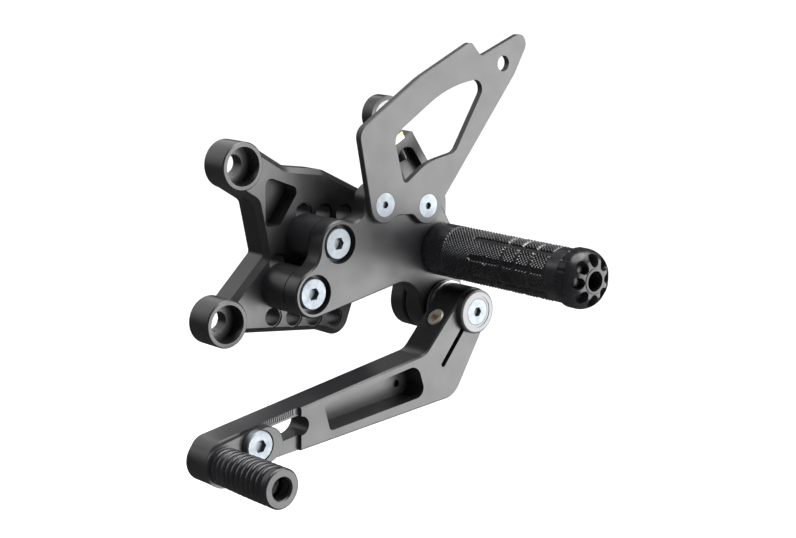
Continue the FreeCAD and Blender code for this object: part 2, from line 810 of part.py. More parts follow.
def shift_lever():
    body = new_body("shift_lever")
    tip = shifted(toe_axis, 0.0, 0.2)
    outline = [
        round_at(pivot, dim("hub_radius")),
        (61.1, -77.1, -8.0),
        (-43.2, -109.2, 7.2),
        round_at(tip, dim("tip_radius")),
        (-15.0, -130.1, -15.0),
        (77.1, -96.8, 10.4),
    ]
    pad(body, "blank", lever_back, dim("lever_thickness"), [outline])
    bevel(body, "face_bevel", rim_edges(body.Shape, lever_face.value), dim("edge_chamfer"))
    bevel(body, "back_bevel", rim_edges(body.Shape, lever_back.value), dim("edge_chamfer"))
    long_pocket = [
        (12.5, -106.5, 2.0),
        (59.7, -99.4, 4.3),
        (57.0, -94.6, 5.4),
        (10.3, -98.3, 2.0),
    ]
    pocket(body, "long_pocket", lever_face, dim("lever_pocket_depth"), [long_pocket])
    bore = dim("shaft_radius") + dim("fit_clearance")
    pocket(body, "shaft_bore", lever_face, dim("lever_thickness"), circles=[(pivot, bore)])
    half_slit = dim("slit_width") / 2
    slit = [round_at(pivot, half_slit), round_at(along_slit(dim("slit_length")), half_slit)]
    pocket(body, "clamp_slit", lever_face, dim("lever_thickness"), [slit])
    step = [(-70.0, -70.0, 0.5), (-70.0, -140.0, 0.5), (-5.5, -140.0, 0.5), (-4.2, -70.0, 0.5)]
    pocket(body, "toe_step", lever_face, dim("toe_step"), [step])
    half = dim("slot_half_width")
    slot = [round_at(slot_start, half), round_at(slot_end, half)]
    pocket(body, "toe_slot", lever_face, dim("lever_thickness"), [slot])
    groove_half = dim("nut_groove_half_width")
    groove = [round_at(slot_start, groove_half), round_at(slot_end, groove_half)]
    groove_face = lever_back + dim("nut_groove_depth")
    pocket(body, "nut_groove", groove_face, dim("nut_groove_depth"), [groove])
    dimple = shifted(pivot, -36.0, -29.4)
    floor = lever_face - dim("lever_pocket_depth")
    pocket(body, "pocket_dimple", floor, 2.0, circles=[(dimple, 1.7)])
    serrations(body)
    pinch_holes(body)
    return body


def serrations(body):
    """Fine notches beside the toe slot, square to it."""
    before = body.Shape.Volume
    sketch = face_sketch(body, "serration_sketch", lever_face - dim("toe_step"))
    along = Vector(-math.cos(slot_slope), -math.sin(slot_slope), 0)
    aside = Vector(-math.sin(slot_slope), math.cos(slot_slope), 0)
    pitch = dim("serration_pitch").value
    end = flat((slot_end[0].value, slot_end[1].value))
    first = end + along * 1.8 + aside * (dim("slot_half_width").value + 0.8)
    for step in range(int(28.0 / pitch)):
        low = first + along * (step * pitch)
        corners = [low, low + aside * 3.4, low + aside * 3.4 + along * (pitch / 2),
                   low + along * (pitch / 2)]
        for i, corner in enumerate(corners):
            sketch.addGeometry(Part.LineSegment(corner, corners[(i + 1) % 4]), False)
    feature = body.newObject("PartDesign::Pocket", "serrations")
    feature.Profile = sketch
    feature.Length = 0.35
    body.Tip = feature
    check_volume(body, before, False, "serrations")


def pinch_holes(body):
    """Clearance hole and head seat of the pinch screw, square to the clamp slit."""
    middle = lever_back + dim("lever_thickness") / 2
    seat = pinch_seat()
    hole_mouth = shifted(seat, -30.0 * across_arm[0], -30.0 * across_arm[1])
    clear = dim("pinch_radius") + dim("fit_clearance")
    drill(body, "pinch_hole", clear, hole_mouth, across_arm, middle, 60.0)
    drill(body, "pinch_seat", dim("pinch_head_radius") + 0.3, seat, across_arm, middle, 30.0)


def pinch_seat():
    return along_slit(dim("pinch_station").value, dim("pinch_offset").value)


def pinch_screw():
    grip = plain(13.0)
    screw = socket_screw("pinch_screw", dim("pinch_radius"), grip, dim("pinch_head_radius"),
                         dim("pinch_head_height"), 4.0, 2.5)
    screw.Label = "pinch_screw"
    seat = pinch_seat()
    middle = lever_back + dim("lever_thickness") / 2
    out = Vector(across_arm[0], 0, across_arm[1])
    turn = Rotation(Vector(0, 0, 1), out)
    base = Vector(number(seat[0]), -middle.value, number(seat[1])) - out * grip.value
    screw.Placement = Placement(base, turn)
    return screw


# ---- link arm and rod end ----

def link_arm():
    body = new_body("link_arm")
    ux, uz = rod_line
    half = dim("arm_half_width")
    wall = 3.6
    reach = dim("arm_end").value
    end = shifted(eye_axis, -ux * reach, -uz * reach)
    rounding = 1.4
    corner = half.value - rounding
    near = shifted(end, -ux * rounding, -uz * rounding)
    outline = [
        round_at(pivot, dim("arm_hub_radius")),
        (95.5, -26.0, 12.0),
        shifted(near, corner * uz, -corner * ux) + (rounding,),
        shifted(near, -corner * uz, corner * ux) + (rounding,),
        (78.0, -33.0, -10.0),
    ]
    pad(body, "arm", arm_back, dim("arm_thickness"), [outline])
    bevel(body, "face_bevel", rim_edges(body.Shape, arm_face.value), dim("edge_chamfer"))
    recess = [
        (96.5, -50.0, 5.3),
        (95.5, -26.0, 12.0 - wall),
        shifted(end, -ux * 9.5, -uz * 9.5) + (half - wall,),
        (78.0, -33.0, -10.0 - wall),
    ]
    pocket(body, "arm_pocket", arm_face, dim("arm_pocket_depth"), [recess])
    bore = dim("shaft_radius") + dim("fit_clearance")
    pocket(body, "shaft_bore", arm_face, dim("arm_thickness"), circles=[(pivot, bore)])
    mouth = shifted(end, ux, uz)
    middle = arm_back + dim("arm_thickness") / 2
    drill(body, "rod_thread", dim("rod_radius") + dim("fit_clearance"), mouth, (-ux, -uz),
          middle, 12.0)
    return body


def link_washer():
    bore = dim("screw_radius") + 0.2
    profile = [(bore, 0.0), (9.0, 0.0), (9.0, 1.6), (bore, 1.6)]
    return turned("link_washer", profile, pivot, arm_back - 1.6)


def link_screw():
    length = plain(1.6 + 12.0)
    screw = socket_screw("link_screw", dim("screw_radius"), length, 5.25, plain(3.3), 4.0, 1.8)
    screw.Label = "link_screw"
    place(screw, pivot, arm_back + 12.0, INBOARD)
    return screw


def along_rod(label, item, distance):
    """Stand a piece on the rod end's shank, `distance` from the eye."""
    middle = arm_back + dim("arm_thickness") / 2
    out = Vector(rod_line[0], 0, rod_line[1])
    base = Vector(eye_axis[0].value, -middle.value, eye_axis[1].value) - out * distance
    item.Placement = Placement(base, Rotation(Vector(0, 0, 1), out))
    item.Label = label
    return item


def rod_end():
    width = dim("eye_width")
    shank_length = dim("arm_end").value + 10.0
    crosswise = Rotation(Vector(1, 0, 0), 90)
    ring = cylinder("eye_disc", dim("eye_radius"), width, shank_length)
    ring.Placement = Placement(Vector(0, width.value / 2, 0), crosswise)
    shank = cylinder("eye_shank", dim("rod_radius"), shank_length - 7.6)
    blank = fuse("eye_blank", [ring, shank])
    seat = cylinder("eye_seat", dim("ball_radius") + dim("liner_wall"), width + 6.0, shank_length)
    seat.Placement = Placement(Vector(0, width.value / 2 + 3.0, 0), crosswise)
    item = cut("rod_end", blank, seat)
    return along_rod("rod_end", item, shank_length)


def rod_end_liner():
    width = dim("eye_width")
    disc = cylinder("liner_disc", dim("ball_radius") + dim("liner_wall"), width, width * -0.5)
    ball = primitive("Part::Sphere", "liner_hollow", Radius=dim("ball_radius") + dim("fit_clearance"))
    item = cut("rod_end_liner", disc, ball)
    item.Label = "rod_end_liner"
    place(item, eye_axis, arm_back + dim("arm_thickness") / 2)
    return item


def rod_end_ball():
    width = dim("ball_width")
    ball = primitive("Part::Sphere", "ball_sphere", Radius=dim("ball_radius"))
    slab = cylinder("ball_slab", dim("ball_radius") + 1.0, width, width * -0.5)
    sliced = common("ball_sliced", ball, slab)
    bore = cylinder("ball_bore", dim("ball_bore_radius"), width + 4.0, width * -0.5 - 2.0)
    item = cut("rod_end_ball", sliced, bore)
    item.Label = "rod_end_ball"
    place(item, eye_axis, arm_back + dim("arm_thickness") / 2)
    return item


def lock_nut():
    body = hexagon("lock_nut_body", 10.0, dim("nut_height"))
    bore = cylinder("lock_nut_bore", dim("rod_radius") + dim("fit_clearance"), 9.0, -2.0)
    item = cut("lock_nut", body, bore)
    return along_rod("lock_nut", item, dim("arm_end").value - 0.02)


# ---- toe peg and its sliding carrier ----

carrier_back = lever_face - dim("toe_step")
carrier_face = carrier_back + dim("carrier_thickness")
carrier_floor = carrier_face - dim("carrier_pocket_depth")


def toe_carrier():
    body = new_body("toe_carrier")
    nose = shifted(carrier_bolt_axis, 4.2, -0.4)
    half = dim("carrier_half_width")
    outline = [round_at(toe_axis, dim("tip_radius")), round_at(nose, half)]
    pad(body, "bar", carrier_back, dim("carrier_thickness"), [outline])
    bevel(body, "bar_bevel", rim_edges(body.Shape, carrier_face.value), 0.4)
    room = dim("carrier_head_radius") + 0.35
    seat = [
        round_at(carrier_bolt_axis, room),
        (toe_axis[0] - 1.5, toe_axis[1] + 1.5, dim("tip_radius") + 3.0),
    ]
    pocket(body, "low_seat", carrier_face, dim("carrier_pocket_depth"), [seat])
    pocket(body, "bolt_hole", carrier_face, dim("carrier_thickness"),
           circles=[(carrier_bolt_axis, dim("bolt_radius") + 0.1),
                    (toe_axis, dim("screw_radius") + dim("fit_clearance"))])
    return body


def carrier_bolt():
    tip_depth = lever_back + 0.6
    length = carrier_floor - tip_depth
    screw = socket_screw("carrier_bolt", dim("bolt_radius"), length, dim("carrier_head_radius"),
                         dim("bolt_head_height"), 5.0, 2.2)
    screw.Label = "carrier_bolt"
    place(screw, carrier_bolt_axis, tip_depth)
    return screw


def carrier_nut():
    width = dim("nut_groove_half_width") * 2 - 0.6
    height = dim("nut_groove_depth") - 0.6
    block = primitive("Part::Box", "nut_block", Length=width, Width=width, Height=height)
    block.setExpression("Placement.Base.x", f"-1 * {formula(width / 2)}")
    block.setExpression("Placement.Base.y", f"-1 * {formula(width / 2)}")
    bore = cylinder("nut_bore", dim("bolt_radius") + dim("fit_clearance"), height + 2.0, -1.0)
    item = cut("carrier_nut", block, bore)
    item.Label = "carrier_nut"
    turn = OUTBOARD * Rotation(Vector(0, 0, 1), sheet.get("slot_tilt"))
    place(item, carrier_bolt_axis, lever_back + 0.58, turn)
    return item


def toe_barrel():
    length = dim("toe_length")
    root = dim("toe_waist_radius")
    outer = dim("toe_radius")
    bore = dim("screw_radius") + 0.15
    wide = dim("toe_bore_radius")
    rings = int(round(sheet.get("toe_ring_count")))
    pitch = (length - 3.0) / rings
    groove = 0.7
    profile = [(bore, 0.0), (root - 0.3, 0.0)]
    for i in range(rings):
        swell = root + (outer - root) * (math.sin(math.pi / 2 * (i + 1) / rings))
        start = pitch * i + 0.4
        profile += [
            (swell, start + 0.5), (swell, start + pitch * 0.55),
            (swell - groove, start + pitch * 0.7), (swell - groove, start + pitch * 0.9),
        ]
    profile += [(outer, length - 2.2), (outer, length - 0.6), (outer - 0.6, length)]
    profile += [(wide, length), (wide, length - 12.0), (bore, length - 12.0)]
    return turned("toe_barrel", profile, toe_axis, carrier_floor)


def toe_bolt():
    seat = carrier_floor + dim("toe_length") - 12.0
    tip_depth = carrier_back + 0.3
    screw = socket_screw("toe_bolt", dim("screw_radius"), seat - tip_depth,
                         dim("toe_bore_radius") - 0.3, plain(4.0), 5.0, 2.4)
    screw.Label = "toe_bolt"
    place(screw, toe_axis, tip_depth)
    return screw


# ---- build, check and write ----

nodes = [
    base_plate(), adapter_plate(), adapter_spacers(), adapter_bolts(), heel_guard(),
    guard_screws(), peg_barrel(), peg_washer(), peg_bolt(), peg_end_cap(),
    bush("inner_bush", boss_back - flange, OUTBOARD),
    bush("outer_bush", bracket_face + flange, INBOARD),
    thrust_washers(), dust_ring(), pivot_shaft(), pivot_cap(), cap_screw(),
    shift_lever(), pinch_screw(), link_arm(), link_washer(), link_screw(), rod_end(),
    rod_end_liner(), rod_end_ball(), lock_nut(), toe_carrier(), carrier_bolt(), carrier_nut(),
    toe_barrel(), toe_bolt(),
]
doc.recompute()

for item in doc.Objects:
    if "Invalid" in item.State or "Error" in item.State:
        raise RuntimeError(f"{item.Label} failed: {item.State}")

os.makedirs("parts", exist_ok=True)
for node in nodes:
    shape = node.Shape
    if shape.isNull() or not shape.isValid() or shape.Volume <= 0:
        raise RuntimeError(f"{node.Label} has no valid shape")
    shape.exportStep(f"parts/{node.Label}.step")
    box = shape.BoundBox
    print(f"{node.Label}: {len(shape.Solids)} solid(s), {shape.Volume:.0f} mm3, "
          f"{box.XLength:.1f} x {box.YLength:.1f} x {box.ZLength:.1f}")
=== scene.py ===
import math

import bpy
import numpy as np
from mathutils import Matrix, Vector


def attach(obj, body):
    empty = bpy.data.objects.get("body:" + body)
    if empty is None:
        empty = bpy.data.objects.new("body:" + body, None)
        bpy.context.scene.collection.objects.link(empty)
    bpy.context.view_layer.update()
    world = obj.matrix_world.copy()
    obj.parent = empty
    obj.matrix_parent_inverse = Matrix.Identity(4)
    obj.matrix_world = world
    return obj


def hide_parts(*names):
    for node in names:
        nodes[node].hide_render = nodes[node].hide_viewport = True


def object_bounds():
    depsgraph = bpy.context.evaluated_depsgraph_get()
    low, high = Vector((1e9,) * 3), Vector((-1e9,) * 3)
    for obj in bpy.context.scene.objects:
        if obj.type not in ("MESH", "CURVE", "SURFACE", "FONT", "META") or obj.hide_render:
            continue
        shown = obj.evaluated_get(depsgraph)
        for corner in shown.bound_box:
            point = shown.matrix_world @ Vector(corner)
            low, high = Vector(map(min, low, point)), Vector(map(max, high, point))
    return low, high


# Looks for the gear-shift rear set. Lengths in the dictionaries are millimetres,
# "out" is the distance from the mounting face along the foot peg (-Y).

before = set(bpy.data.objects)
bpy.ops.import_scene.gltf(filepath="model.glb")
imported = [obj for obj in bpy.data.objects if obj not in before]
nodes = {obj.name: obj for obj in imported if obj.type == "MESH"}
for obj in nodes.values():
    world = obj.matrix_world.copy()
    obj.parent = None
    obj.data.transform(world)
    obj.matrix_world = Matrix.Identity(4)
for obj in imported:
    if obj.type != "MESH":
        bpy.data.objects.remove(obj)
cadLow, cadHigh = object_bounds()
mm = 0.001


def addObject(name, data):
    added = bpy.data.objects.new(name, data)
    bpy.context.scene.collection.objects.link(added)
    return added


# ---- finishes ----

noises = {
    "cloudDetail": 4.0, "sheenDetail": 5.0, "sheenRatio": 2.7, "grainDetail": 2.0,
    "ringDetail": 4.0, "rampEnds": (0.3, 0.7), "tintEnds": (0.32, 0.68), "bumpStrength": 1.0,
}


def startMaterial(name):
    material = bpy.data.materials.new(name)
    material.use_nodes = True
    tree = material.node_tree
    tree.nodes.clear()
    output = tree.nodes.new("ShaderNodeOutputMaterial")
    shader = tree.nodes.new("ShaderNodeBsdfPrincipled")
    tree.links.new(shader.outputs["BSDF"], output.inputs["Surface"])
    return material, tree, shader


def objectNoise(tree, scale, detail):
    coords = tree.nodes.new("ShaderNodeTexCoord")
    noise = tree.nodes.new("ShaderNodeTexNoise")
    noise.inputs["Scale"].default_value = scale
    noise.inputs["Detail"].default_value = detail
    tree.links.new(coords.outputs["Object"], noise.inputs["Vector"])
    return noise.outputs["Fac"]


def ramp(tree, source, low, high):
    scaled = tree.nodes.new("ShaderNodeMapRange")
    scaled.inputs["From Min"].default_value = noises["rampEnds"][0]
    scaled.inputs["From Max"].default_value = noises["rampEnds"][1]
    scaled.inputs["To Min"].default_value = low
    scaled.inputs["To Max"].default_value = high
    tree.links.new(source, scaled.inputs["Value"])
    return scaled.outputs["Result"]


def tint(tree, source, dark, light):
    colours = tree.nodes.new("ShaderNodeValToRGB")
    stops = zip(colours.color_ramp.elements, noises["tintEnds"], (dark, light))
    for stop, position, colour in stops:
        stop.position = position
        stop.color = (*colour, 1.0)
    tree.links.new(source, colours.inputs["Fac"])
    return colours.outputs["Color"]


def wireMetal(tree, shader, look, colour, sheen, grain):
    tree.links.new(colour, shader.inputs["Base Color"])
    roughness = ramp(tree, sheen, look["smooth"], look["rough"])
    tree.links.new(roughness, shader.inputs["Roughness"])
    bump = tree.nodes.new("ShaderNodeBump")
    bump.inputs["Strength"].default_value = noises["bumpStrength"]
    bump.inputs["Distance"].default_value = look["grainHeight"] * mm
    tree.links.new(grain, bump.inputs["Height"])
    tree.links.new(bump.outputs["Normal"], shader.inputs["Normal"])
    shader.inputs["Metallic"].default_value = look["metallic"]
    shader.inputs["Specular IOR Level"].default_value = look["specular"]


def grainedMetal(name, look):
    # cloudy colour, a second and finer cloud for the sheen, and a fine blasted grain
    material, tree, shader = startMaterial(name)
    cloud = objectNoise(tree, look["cloudScale"], noises["cloudDetail"])
    sheenScale = look["cloudScale"] * noises["sheenRatio"]
    sheen = objectNoise(tree, sheenScale, noises["sheenDetail"])
    grain = objectNoise(tree, look["grainScale"], noises["grainDetail"])
    colour = tint(tree, cloud, look["dark"], look["light"])
    wireMetal(tree, shader, look, colour, sheen, grain)
    return material


def distanceFromAxis(tree, centre):
    # the axis runs along Y through the centre (x, z)
    coords = tree.nodes.new("ShaderNodeTexCoord")
    mapping = tree.nodes.new("ShaderNodeMapping")
    mapping.inputs["Location"].default_value = (-centre[0] * mm, 0.0, -centre[1] * mm)
    mapping.inputs["Scale"].default_value = (1.0, 0.0, 1.0)
    tree.links.new(coords.outputs["Object"], mapping.inputs["Vector"])
    length = tree.nodes.new("ShaderNodeVectorMath")
    length.operation = "LENGTH"
    tree.links.new(mapping.outputs["Vector"], length.inputs[0])
    return length.outputs["Value"]


def paintedGrooveShade(tree, distance, colour, radius, look):
    # painted shade: the colour is darkened in a thin ring at the groove's radius, where shade
    # falls in the groove
    groove = tree.nodes.new("ShaderNodeMath")
    groove.operation = "COMPARE"
    groove.inputs[1].default_value = radius * mm
    groove.inputs[2].default_value = look["grooveShadeWidth"] * mm
    tree.links.new(distance, groove.inputs[0])
    darker = tree.nodes.new("ShaderNodeMix")
    darker.data_type = "RGBA"
    darker.inputs["B"].default_value = (*[c * look["grooveShadeTone"] for c in look["dark"]], 1.0)
    tree.links.new(groove.outputs[0], darker.inputs["Factor"])
    tree.links.new(colour, darker.inputs["A"])
    return darker.outputs["Result"]


def turnedMetal(name, look, centre):
    # fine random rings round the axis, and painted shade: the colour is darkened in a thin ring
    # at each groove's radius
    material, tree, shader = startMaterial(name)
    distance = distanceFromAxis(tree, centre)
    rings = tree.nodes.new("ShaderNodeTexNoise")
    rings.noise_dimensions = "1D"
    rings.inputs["Scale"].default_value = look["ringScale"]
    rings.inputs["Detail"].default_value = noises["ringDetail"]
    tree.links.new(distance, rings.inputs["W"])
    ringed = rings.outputs["Fac"]
    colour = tint(tree, ringed, look["dark"], look["light"])
    for radius in look["grooves"]:
        colour = paintedGrooveShade(tree, distance, colour, radius, look)
    wireMetal(tree, shader, look, colour, ringed, ringed)
    return material


blackPlate = {
    "dark": (0.008, 0.008, 0.009), "light": (0.014, 0.014, 0.016), "metallic": 0.0,
    "specular": 0.62, "smooth": 0.30, "rough": 0.40, "cloudScale": 38.0,
    "grainScale": 2600.0, "grainHeight": 0.004,
}
blackGrip = dict(blackPlate, smooth=0.20, rough=0.30, specular=0.85, grainHeight=0.003)
zincBolt = {
    "dark": (0.17, 0.19, 0.21), "light": (0.24, 0.26, 0.28), "metallic": 1.0,
    "specular": 0.5, "smooth": 0.46, "rough": 0.58, "cloudScale": 160.0,
    "grainScale": 1500.0, "grainHeight": 0.004,
}
plainSteel = dict(zincBolt, dark=(0.34, 0.34, 0.34), light=(0.46, 0.45, 0.44), smooth=0.22,
                  rough=0.34)
grainedLooks = {
    "blackPlate": blackPlate,
    "flatSheet": dict(blackPlate, dark=(0.012, 0.012, 0.014), light=(0.018, 0.018, 0.020),
                      smooth=0.36, rough=0.44),
    "blackGrip": blackGrip,
    "blackDome": dict(blackGrip, specular=0.32),
    "blackRibs": dict(blackGrip, specular=0.48),
    "zincBolt": zincBolt,
    "plainSteel": plainSteel,
    "warmSteel": dict(plainSteel, dark=(0.50, 0.42, 0.35), light=(0.82, 0.76, 0.70),
                      smooth=0.42, rough=0.58),
    "washerSteel": dict(plainSteel, dark=(0.55, 0.55, 0.55), light=(0.75, 0.75, 0.76),
                        smooth=0.40, rough=0.50, grainHeight=0.001),
    "yellowZinc": dict(zincBolt, dark=(0.46, 0.38, 0.20), light=(0.66, 0.60, 0.40)),
    "bearingBronze": dict(plainSteel, dark=(0.26, 0.17, 0.08), light=(0.40, 0.27, 0.13)),
    "blackSteel": dict(blackPlate, smooth=0.24, rough=0.34),
    "sealRubber": dict(blackPlate, smooth=0.62, rough=0.80, specular=0.3, grainHeight=0.01),
    "whiteLiner": dict(blackPlate, dark=(0.50, 0.49, 0.45), light=(0.62, 0.61, 0.57),
                       smooth=0.4, rough=0.55),
}
turnedCapLook = {
    "dark": (0.15, 0.15, 0.155), "light": (0.23, 0.23, 0.235), "metallic": 1.0,
    "specular": 0.5, "smooth": 0.46, "rough": 0.60, "ringScale": 1400.0,
    # the groove radii, width and tone set the painted shade darkened into the colour at each
    # groove
    "grainHeight": 0.006, "grooves": (5.9, 9.1), "grooveShadeWidth": 0.16, "grooveShadeTone": 0.45,
}

pegCentre = (91.4, -43.5)
pivotCentre = (93.5, -69.3)
toeCentre = (-43.1, -112.7)

finishes = {name: grainedMetal(name, look) for name, look in grainedLooks.items()}
finishes["turnedCap"] = turnedMetal("turnedCap", turnedCapLook, pivotCentre)

wears = {
    "base_plate": "blackPlate", "adapter_plate": "blackPlate", "adapter_spacers": "blackPlate",
    "heel_guard": "flatSheet", "shift_lever": "blackPlate", "link_arm": "blackPlate",
    "toe_carrier": "blackPlate", "peg_barrel": "blackGrip", "peg_end_cap": "blackDome",
    "toe_barrel": "blackRibs", "adapter_bolts": "zincBolt", "guard_screws": "zincBolt",
    "carrier_bolt": "zincBolt", "cap_screw": "zincBolt", "pivot_cap": "turnedCap",
    "pinch_screw": "warmSteel", "lock_nut": "yellowZinc", "inner_bush": "bearingBronze",
    "outer_bush": "bearingBronze", "dust_ring": "sealRubber", "rod_end_liner": "whiteLiner",
    "thrust_washers": "washerSteel", "rod_end": "blackSteel", "link_washer": "blackSteel",
}

for name, node in nodes.items():
    node.data.materials.clear()
    node.data.materials.append(finishes[wears.get(name, "plainSteel")])
print("finishes on", len(nodes), "packed nodes")


# ---- surfaces ----

def closedRings(name, points, finish, sharpAngle):
    # points[i, j] is ring i, place j round it; rings and places both close on themselves
    rows, cols = points.shape[:2]
    i, j = np.meshgrid(np.arange(rows), np.arange(cols), indexing="ij")
    nextI, nextJ = (i + 1) % rows, (j + 1) % cols
    faces = np.stack([i * cols + j, nextI * cols + j, nextI * cols + nextJ, i * cols + nextJ], -1)
    faces = faces.reshape(-1, 4)
    flatPoints = points.reshape(-1, 3)
    a, b, c, d = (flatPoints[faces[:, k]] for k in range(4))
    volume = (a * np.cross(b, c)).sum() + (a * np.cross(c, d)).sum()
    if volume < 0:
        faces = faces[:, ::-1]  # the faces have to point outwards
    mesh = bpy.data.meshes.new(name)
    mesh.vertices.add(len(flatPoints))
    mesh.vertices.foreach_set("co", (flatPoints * mm).astype(np.float32).ravel())
    mesh.loops.add(faces.size)
    mesh.loops.foreach_set("vertex_index", faces.astype(np.int32).ravel())
    mesh.polygons.add(len(faces))
    mesh.polygons.foreach_set("loop_start", np.arange(0, faces.size, 4, dtype=np.int32))
    mesh.polygons.foreach_set("loop_total", np.full(len(faces), 4, np.int32))
    mesh.polygons.foreach_set("use_smooth", np.ones(len(faces), bool))
    mesh.update(calc_edges=True)
    mesh.validate()
    mesh.materials.append(finish)
    mesh.set_sharp_from_angle(angle=math.radians(sharpAngle))
    return addObject(name, mesh)


def spreadAlong(corners, steps):
    # a closed profile of (radius, out) corners, each run cut into its own number of steps
    corners = np.array(corners, float)
    following = np.roll(corners, -1, axis=0)
    runs = [a + (b - a) * np.linspace(0, 1, n, endpoint=False)[:, None]
            for a, b, n in zip(corners, following, steps)]
    return np.concatenate(runs)


def placesRound(count):
    return np.linspace(0, 2 * np.pi, count, endpoint=False)[None, :]


def roundAxis(radius, out, turn, centre, start):
    # the axis is along -Y through the centre; rings go down the arrays, places across
    radius, out, turn = np.broadcast_arrays(radius, out, turn)
    return np.stack([centre[0] + radius * np.cos(turn), -(start + out),
                     centre[1] + radius * np.sin(turn)], -1)


def softStep(value, edge, width):
    # smooth cubic from 0 to 1 across the width, half way at the edge
    t = np.clip((value - edge) / width + 0.5, 0, 1)
    return t * t * (3 - 2 * t)


def band(value, low, high, width):
    return softStep(value, low, width) * (1 - softStep(value, high, width))


# ---- foot peg ----

pegGrip = {
    "start": 37.4, "length": 83.1, "radius": 12.0, "edge": 0.5, "bore": 4.3, "mouth": 7.4,
    "mouthDepth": 17.0, "collar": 13.4, "collarLap": 0.5, "collarDepth": 0.12,
    "columns": 8, "columnShift": 0.25, "columnFill": 0.37, "columnFade": 0.04,
    "grooveDepth": 0.95, "firstGroove": 29.0, "arrowLength": 18.0, "arrowFade": 0.8,
    "knurlRun": 7.5, "knurlFade": 0.6,
    "padRows": [(41.0, 48.7), (50.4, 57.3), (59.0, 65.9), (67.2, 75.3)], "padFade": 0.5,
    "endGap": 0.4, "endDepth": 0.3,
    "diamonds": 48, "diamondPitch": 1.8, "diamondDepth": 0.6, "diamondSlope": 2.6,
    "places": 288, "rowStep": 0.3, "sharpAngle": 55.0,
}


def footPegGrip(look):
    # radius = barrel radius, less a diamond pattern where two slanted saw waves are low,
    # less the smooth grooves between columns and rows of pads
    length, radius, edge = look["length"], look["radius"], look["edge"]
    bore, mouth, mouthEnd = look["bore"], look["mouth"], look["length"] - look["mouthDepth"]
    rows = int((length - 2 * edge) / look["rowStep"])
    corners = [(bore, 0), (radius - edge, 0), (radius, edge), (radius, length - edge),
               (radius - edge, length), (mouth, length), (mouth, mouthEnd), (bore, mouthEnd)]
    steps = [3, 2, rows, 2, 3, 4, 2, 4]
    outside = slice(sum(steps[:2]), sum(steps[:3]))
    profile = spreadAlong(corners, steps)
    out = profile[:, 1:]
    turn = placesRound(look["places"])

    across = turn * look["diamonds"] / (2 * np.pi)
    along = out / look["diamondPitch"]
    rising = np.abs((across + along + 0.5) % 1 - 0.5)
    falling = np.abs((across - along + 0.5) % 1 - 0.5)
    ridge = 1 - np.clip(look["diamondSlope"] * np.minimum(rising, falling), 0, 1)

    column = np.abs((turn * look["columns"] / (2 * np.pi) + look["columnShift"]) % 1 - 0.5)
    beside = softStep(column, look["columnFill"], look["columnFade"])
    arrow = look["firstGroove"] + look["arrowLength"] * (0.5 - column)
    between = beside * softStep(out, arrow, look["arrowFade"])
    knurled = band(out, look["collar"], arrow + look["knurlRun"], look["knurlFade"])
    pads = sum(band(out, low, high, look["padFade"]) for low, high in look["padRows"])
    pattern = np.clip(knurled * (1 - between) + pads * (1 - beside), 0, 1)

    lastPad = look["padRows"][-1][1]
    smoothDepth = np.where(out < look["collar"] + look["collarLap"], look["collarDepth"],
                           look["grooveDepth"])
    smoothDepth = np.where(out > lastPad + look["endGap"], look["endDepth"], smoothDepth)
    cut = pattern * look["diamondDepth"] * ridge + (1 - pattern) * smoothDepth
    radii = np.repeat(profile[:, :1], look["places"], axis=1)
    radii[outside] -= cut[outside]
    points = roundAxis(radii, out, turn, pegCentre, look["start"])
    return closedRings("footPegGrip", points, finishes["blackGrip"], look["sharpAngle"])


pegEndCap = {
    "start": 116.5, "spigot": 4.0, "fitted": 7.35, "hole": 4.15, "radius": 12.8,
    "length": 11.3, "edge": 0.5, "shoulderShare": 0.36, "hubWall": 1.3,
    "domeRows": 64, "domePowers": (0.8, 1.15), "domeStop": 0.35,
    "hubEdge": (0.25, 0.1), "holeEdge": (0.2, 0.3), "boreInset": (1.0, 0.5), "boreRows": 6,
    "windows": 8, "windowMiddle": 8.6, "windowHalf": 2.5, "windowAngle": 0.27,
    "windowPower": 2.4, "windowFade": 0.35, "windowDepth": 3.4, "windowLean": 0.35,
    "scallops": 16, "scallopDepth": 0.35, "scallopCrest": 0.55, "scallopRows": (9, 6),
    "places": 320, "sharpAngle": 40.0,
}


